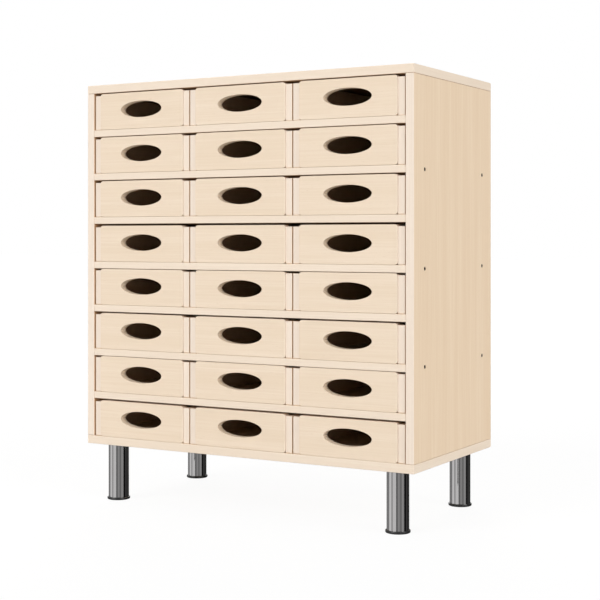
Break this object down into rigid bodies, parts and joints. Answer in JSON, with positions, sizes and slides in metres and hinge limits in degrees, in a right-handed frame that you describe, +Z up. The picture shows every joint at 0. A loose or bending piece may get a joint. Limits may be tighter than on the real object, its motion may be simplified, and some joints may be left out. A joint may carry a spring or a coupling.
{
  "type": "classroom tray storage unit",
  "caption": "Pale wooden cabinet on round chromed legs with rows of pull-out wooden trays, each with an oval finger hole in its front",
  "frame": {"origin": "on the floor, under the middle of the unit's width and depth", "axes": "+X across the front from left to right, +Y from the front to the back, +Z up"},
  "size_m": [0.8, 0.396, 0.92],
  "materials": {
    "case_board": "satin maple-look laminate, lighter edge bands",
    "tray_wood": "satin maple-look board, lighter edges",
    "back_board": "thin smooth hardboard",
    "dowel_beech": "plain",
    "black_screw": "black oxide",
    "zinc_screw": "zinc plated",
    "leg_chrome": "polished tube",
    "leg_plate_steel": "zinc plated",
    "plug_plastic": "matt",
    "foot_plastic": "matt, slightly shiny edge"
  },
  "bodies": {
    "cabinet": {"left_side_panel": "case_board", "right_side_panel": "case_board", "bottom_panel": "case_board", "top_panel": "case_board", "back_panel": "back_board", "shelf_1": "case_board", "shelf_2": "case_board", "shelf_3": "case_board", "shelf_4": "case_board", "shelf_5": "case_board", "shelf_6": "case_board", "shelf_7": "case_board", "case_dowels": "dowel_beech", "shelf_dowels": "dowel_beech", "case_screws": "black_screw", "back_panel_screws": "zinc_screw", "front_left_leg_tube": "leg_chrome", "front_right_leg_tube": "leg_chrome", "rear_left_leg_tube": "leg_chrome", "rear_right_leg_tube": "leg_chrome", "leg_plates": "leg_plate_steel", "leg_plugs": "plug_plastic", "leg_plate_screws": "zinc_screw"},
    "tray_left_1": {"tray_left_1": "tray_wood"},
    "tray_centre_1": {"tray_centre_1": "tray_wood"},
    "tray_right_1": {"tray_right_1": "tray_wood"},
    "tray_left_2": {"tray_left_2": "tray_wood"},
    "tray_centre_2": {"tray_centre_2": "tray_wood"},
    "tray_right_2": {"tray_right_2": "tray_wood"},
    "tray_left_3": {"tray_left_3": "tray_wood"},
    "tray_centre_3": {"tray_centre_3": "tray_wood"},
    "tray_right_3": {"tray_right_3": "tray_wood"},
    "tray_left_4": {"tray_left_4": "tray_wood"},
    "tray_centre_4": {"tray_centre_4": "tray_wood"},
    "tray_right_4": {"tray_right_4": "tray_wood"},
    "tray_left_5": {"tray_left_5": "tray_wood"},
    "tray_centre_5": {"tray_centre_5": "tray_wood"},
    "tray_right_5": {"tray_right_5": "tray_wood"},
    "tray_left_6": {"tray_left_6": "tray_wood"},
    "tray_centre_6": {"tray_centre_6": "tray_wood"},
    "tray_right_6": {"tray_right_6": "tray_wood"},
    "tray_left_7": {"tray_left_7": "tray_wood"},
    "tray_centre_7": {"tray_centre_7": "tray_wood"},
    "tray_right_7": {"tray_right_7": "tray_wood"},
    "tray_left_8": {"tray_left_8": "tray_wood"},
    "tray_centre_8": {"tray_centre_8": "tray_wood"},
    "tray_right_8": {"tray_right_8": "tray_wood"},
    "front_left_levelling_foot": {"front_left_foot": "foot_plastic", "front_left_foot_stud": "zinc_screw"},
    "front_right_levelling_foot": {"front_right_foot": "foot_plastic", "front_right_foot_stud": "zinc_screw"},
    "rear_left_levelling_foot": {"rear_left_foot": "foot_plastic", "rear_left_foot_stud": "zinc_screw"},
    "rear_right_levelling_foot": {"rear_right_foot": "foot_plastic", "rear_right_foot_stud": "zinc_screw"}
  },
  "joints": [
    {"name": "tray_left_1_slide", "type": "slide", "parent": "cabinet", "child": "tray_left_1", "axis": [0, -1, 0], "range_m": [0, 0.375]},
    {"name": "tray_centre_1_slide", "type": "slide", "parent": "cabinet", "child": "tray_centre_1", "axis": [0, -1, 0], "range_m": [0, 0.375]},
    {"name": "tray_right_1_slide", "type": "slide", "parent": "cabinet", "child": "tray_right_1", "axis": [0, -1, 0], "range_m": [0, 0.375]},
    {"name": "tray_left_2_slide", "type": "slide", "parent": "cabinet", "child": "tray_left_2", "axis": [0, -1, 0], "range_m": [0, 0.375]},
    {"name": "tray_centre_2_slide", "type": "slide", "parent": "cabinet", "child": "tray_centre_2", "axis": [0, -1, 0], "range_m": [0, 0.375]},
    {"name": "tray_right_2_slide", "type": "slide", "parent": "cabinet", "child": "tray_right_2", "axis": [0, -1, 0], "range_m": [0, 0.375]},
    {"name": "tray_left_3_slide", "type": "slide", "parent": "cabinet", "child": "tray_left_3", "axis": [0, -1, 0], "range_m": [0, 0.375]},
    {"name": "tray_centre_3_slide", "type": "slide", "parent": "cabinet", "child": "tray_centre_3", "axis": [0, -1, 0], "range_m": [0, 0.375]},
    {"name": "tray_right_3_slide", "type": "slide", "parent": "cabinet", "child": "tray_right_3", "axis": [0, -1, 0], "range_m": [0, 0.375]},
    {"name": "tray_left_4_slide", "type": "slide", "parent": "cabinet", "child": "tray_left_4", "axis": [0, -1, 0], "range_m": [0, 0.375]},
    {"name": "tray_centre_4_slide", "type": "slide", "parent": "cabinet", "child": "tray_centre_4", "axis": [0, -1, 0], "range_m": [0, 0.375]},
    {"name": "tray_right_4_slide", "type": "slide", "parent": "cabinet", "child": "tray_right_4", "axis": [0, -1, 0], "range_m": [0, 0.375]},
    {"name": "tray_left_5_slide", "type": "slide", "parent": "cabinet", "child": "tray_left_5", "axis": [0, -1, 0], "range_m": [0, 0.375]},
    {"name": "tray_centre_5_slide", "type": "slide", "parent": "cabinet", "child": "tray_centre_5", "axis": [0, -1, 0], "range_m": [0, 0.375]},
    {"name": "tray_right_5_slide", "type": "slide", "parent": "cabinet", "child": "tray_right_5", "axis": [0, -1, 0], "range_m": [0, 0.375]},
    {"name": "tray_left_6_slide", "type": "slide", "parent": "cabinet", "child": "tray_left_6", "axis": [0, -1, 0], "range_m": [0, 0.375]},
    {"name": "tray_centre_6_slide", "type": "slide", "parent": "cabinet", "child": "tray_centre_6", "axis": [0, -1, 0], "range_m": [0, 0.375]},
    {"name": "tray_right_6_slide", "type": "slide", "parent": "cabinet", "child": "tray_right_6", "axis": [0, -1, 0], "range_m": [0, 0.375]},
    {"name": "tray_left_7_slide", "type": "slide", "parent": "cabinet", "child": "tray_left_7", "axis": [0, -1, 0], "range_m": [0, 0.375]},
    {"name": "tray_centre_7_slide", "type": "slide", "parent": "cabinet", "child": "tray_centre_7", "axis": [0, -1, 0], "range_m": [0, 0.375]},
    {"name": "tray_right_7_slide", "type": "slide", "parent": "cabinet", "child": "tray_right_7", "axis": [0, -1, 0], "range_m": [0, 0.375]},
    {"name": "tray_left_8_slide", "type": "slide", "parent": "cabinet", "child": "tray_left_8", "axis": [0, -1, 0], "range_m": [0, 0.375]},
    {"name": "tray_centre_8_slide", "type": "slide", "parent": "cabinet", "child": "tray_centre_8", "axis": [0, -1, 0], "range_m": [0, 0.375]},
    {"name": "tray_right_8_slide", "type": "slide", "parent": "cabinet", "child": "tray_right_8", "axis": [0, -1, 0], "range_m": [0, 0.375]},
    {"name": "front_left_foot_travel", "type": "slide", "parent": "cabinet", "child": "front_left_levelling_foot", "axis": [0, 0, -1], "range_m": [0, 0.015]},
    {"name": "front_right_foot_travel", "type": "slide", "parent": "cabinet", "child": "front_right_levelling_foot", "axis": [0, 0, -1], "range_m": [0, 0.015]},
    {"name": "rear_left_foot_travel", "type": "slide", "parent": "cabinet", "child": "rear_left_levelling_foot", "axis": [0, 0, -1], "range_m": [0, 0.015]},
    {"name": "rear_right_foot_travel", "type": "slide", "parent": "cabinet", "child": "rear_right_levelling_foot", "axis": [0, 0, -1], "range_m": [0, 0.015]}
  ]
}
